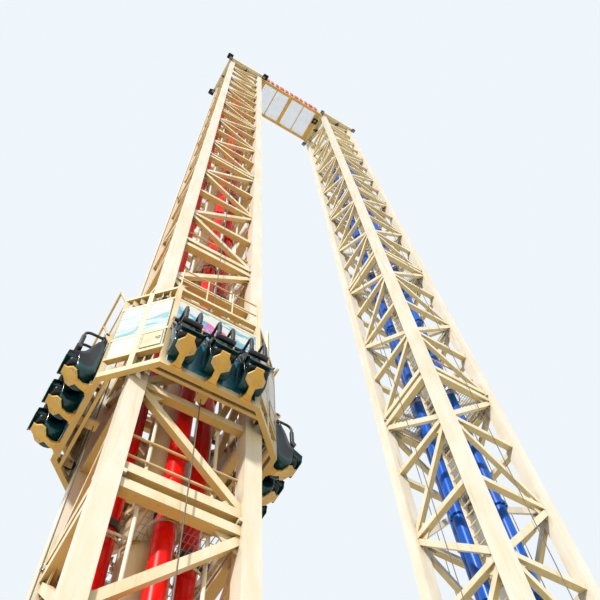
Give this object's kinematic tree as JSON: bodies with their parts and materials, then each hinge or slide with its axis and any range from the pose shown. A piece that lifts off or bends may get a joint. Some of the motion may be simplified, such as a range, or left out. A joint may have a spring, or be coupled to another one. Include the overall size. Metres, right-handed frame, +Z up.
{
  "type": "drop tower ride with two lattice towers, 1:2 scale model",
  "caption": "Twin lattice drop tower ride at 1:2 scale, with a bridge between the heads, drive cylinders, and gondolas with seats that ride up and down the towers.",
  "frame": {"origin": "centre of the underside of the base plate of tower A's front left leg", "axes": "+X from tower A to tower B, +Y from the front to the back, +Z up"},
  "size_m": [6.0426, 2.2526, 28.9743],
  "materials": {
    "lattice_paint": "ivory gloss paint, weathered",
    "leg_paint": "ivory gloss paint",
    "cylinder_red": "red gloss paint",
    "cylinder_blue": "blue gloss paint",
    "dark_steel": "dark satin paint",
    "bright_steel": "bright",
    "tank_paint": "cream paint",
    "access_paint": "ivory paint",
    "head_paint": "ivory paint",
    "sheave_iron": "dark paint",
    "cable_steel": "greased wire rope",
    "bridge_paint": "ochre paint",
    "grating": "galvanised grating",
    "sign_red": "red and white panels",
    "lamp_black": "black housing",
    "gondola_paint": "ivory paint",
    "panel_white": "white gloss sheet",
    "roller_dark": "dark rubber tread",
    "bracket_ochre": "ochre paint",
    "shell_teal": "teal moulded plastic",
    "seat_black": "black vinyl",
    "restraint_paint": "ivory powder coat"
  },
  "bodies": {
    "tower": {"tower_a_legs": "leg_paint", "tower_a_lattice_front": "lattice_paint", "tower_a_lattice_right": "lattice_paint", "tower_a_lattice_back": "lattice_paint", "tower_a_lattice_left": "lattice_paint", "tower_a_cylinders": "cylinder_red", "tower_a_clamps": "dark_steel", "tower_a_air_tank": "tank_paint", "tower_a_platforms": "access_paint", "tower_a_pipes": "access_paint", "tower_a_ladder": "access_paint", "tower_a_head": "head_paint", "tower_a_sheaves": "sheave_iron", "tower_a_cables": "cable_steel", "tower_b_legs": "leg_paint", "tower_b_lattice_front": "lattice_paint", "tower_b_lattice_right": "lattice_paint", "tower_b_lattice_back": "lattice_paint", "tower_b_lattice_left": "lattice_paint", "tower_b_cylinders": "cylinder_blue", "tower_b_clamps": "bright_steel", "tower_b_platforms": "access_paint", "tower_b_ladder": "access_paint", "tower_b_head": "head_paint", "tower_b_sheaves": "sheave_iron", "tower_b_cables": "cable_steel", "bridge_beams": "bridge_paint", "bridge_floor": "grating", "bridge_sign": "sign_red", "floodlights": "lamp_black"},
    "gondola_a": {"gondola_a_frame": "gondola_paint", "gondola_a_panels": "panel_white", "gondola_a_rollers": "roller_dark", "gondola_a_brackets": "bracket_ochre", "gondola_a_shells": "shell_teal", "gondola_a_seats": "seat_black"},
    "restraint_row_a_front": {"restraints_a_front": "restraint_paint"},
    "restraint_row_a_right": {"restraints_a_right": "restraint_paint"},
    "restraint_row_a_back": {"restraints_a_back": "restraint_paint"},
    "restraint_row_a_left": {"restraints_a_left": "restraint_paint"},
    "gondola_b": {"gondola_b_frame": "gondola_paint", "gondola_b_panels": "panel_white", "gondola_b_rollers": "roller_dark", "gondola_b_brackets": "bracket_ochre", "gondola_b_shells": "shell_teal", "gondola_b_seats": "seat_black"},
    "restraint_row_b_front": {"restraints_b_front": "restraint_paint"},
    "restraint_row_b_right": {"restraints_b_right": "restraint_paint"},
    "restraint_row_b_back": {"restraints_b_back": "restraint_paint"},
    "restraint_row_b_left": {"restraints_b_left": "restraint_paint"}
  },
  "joints": [
    {"name": "gondola_a_lift", "type": "slide", "parent": "tower", "child": "gondola_a", "axis": [0, 0, 1], "range_m": [-5.4, 18.3]},
    {"name": "restraints_a_front_swing", "type": "hinge", "parent": "gondola_a", "child": "restraint_row_a_front", "pos_m": [0.5325, -0.3445, 6.762], "axis": [-1, 0, 0], "range_deg": [0, 75]},
    {"name": "restraints_a_right_swing", "type": "hinge", "parent": "gondola_a", "child": "restraint_row_a_right", "pos_m": [1.4095, 0.5325, 6.762], "axis": [0, -1, 0], "range_deg": [0, 75]},
    {"name": "restraints_a_back_swing", "type": "hinge", "parent": "gondola_a", "child": "restraint_row_a_back", "pos_m": [0.5325, 1.4095, 6.762], "axis": [1, 0, 0], "range_deg": [0, 75]},
    {"name": "restraints_a_left_swing", "type": "hinge", "parent": "gondola_a", "child": "restraint_row_a_left", "pos_m": [-0.3445, 0.5325, 6.762], "axis": [0, 1, 0], "range_deg": [0, 75]},
    {"name": "gondola_b_lift", "type": "slide", "parent": "tower", "child": "gondola_b", "axis": [0, 0, 1], "range_m": [0, 23.7]},
    {"name": "restraints_b_front_swing", "type": "hinge", "parent": "gondola_b", "child": "restraint_row_b_front", "pos_m": [4.3225, -0.3445, 1.362], "axis": [-1, 0, 0], "range_deg": [0, 75]},
    {"name": "restraints_b_right_swing", "type": "hinge", "parent": "gondola_b", "child": "restraint_row_b_right", "pos_m": [5.1995, 0.5325, 1.362], "axis": [0, -1, 0], "range_deg": [0, 75]},
    {"name": "restraints_b_back_swing", "type": "hinge", "parent": "gondola_b", "child": "restraint_row_b_back", "pos_m": [4.3225, 1.4095, 1.362], "axis": [1, 0, 0], "range_deg": [0, 75]},
    {"name": "restraints_b_left_swing", "type": "hinge", "parent": "gondola_b", "child": "restraint_row_b_left", "pos_m": [3.4455, 0.5325, 1.362], "axis": [0, 1, 0], "range_deg": [0, 75]}
  ]
}
